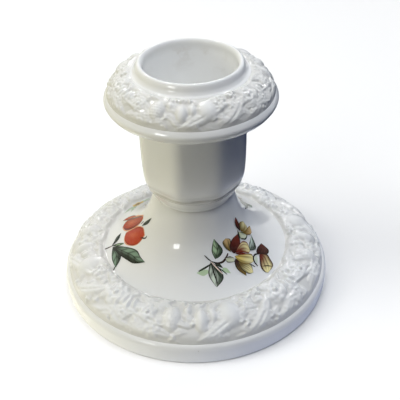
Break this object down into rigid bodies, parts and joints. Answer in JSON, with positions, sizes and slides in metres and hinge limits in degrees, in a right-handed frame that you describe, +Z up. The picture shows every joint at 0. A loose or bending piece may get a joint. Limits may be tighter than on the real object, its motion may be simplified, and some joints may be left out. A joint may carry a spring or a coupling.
{
  "type": "candlestick",
  "caption": "Low white porcelain candlestick with a domed foot, faceted candle cup and sloping drip collar, raised fruit garlands and printed fruit and flower sprays",
  "frame": {"origin": "centre of the foot ring, on the surface that the candlestick stands on", "axes": "+Z points up out of the candle socket, -Y is the front, and +X is to the right"},
  "size_m": [0.0996, 0.0996, 0.09],
  "materials": {
    "foot": "clear gloss glaze over white porcelain",
    "candle_cup": "clear gloss glaze over white porcelain",
    "drip_collar": "clear gloss glaze over white porcelain",
    "foot_garland": "gloss glaze pooled in the relief",
    "collar_garland": "gloss glaze pooled in the relief",
    "fruit_transfer": "glossy fired print, red fruit and dark leaves",
    "blossom_transfer": "glossy fired print, ochre and red-brown blossom with green leaves",
    "small_flower_transfer": "glossy fired print, yellow flower",
    "leaf_sprig_transfer": "glossy fired print, dark green leaves"
  },
  "bodies": {
    "root": {"foot": "foot", "candle_cup": "candle_cup", "drip_collar": "drip_collar", "foot_garland": "foot_garland", "collar_garland": "collar_garland", "fruit_transfer": "fruit_transfer", "blossom_transfer": "blossom_transfer", "small_flower_transfer": "small_flower_transfer", "leaf_sprig_transfer": "leaf_sprig_transfer"}
  },
  "joints": []
}
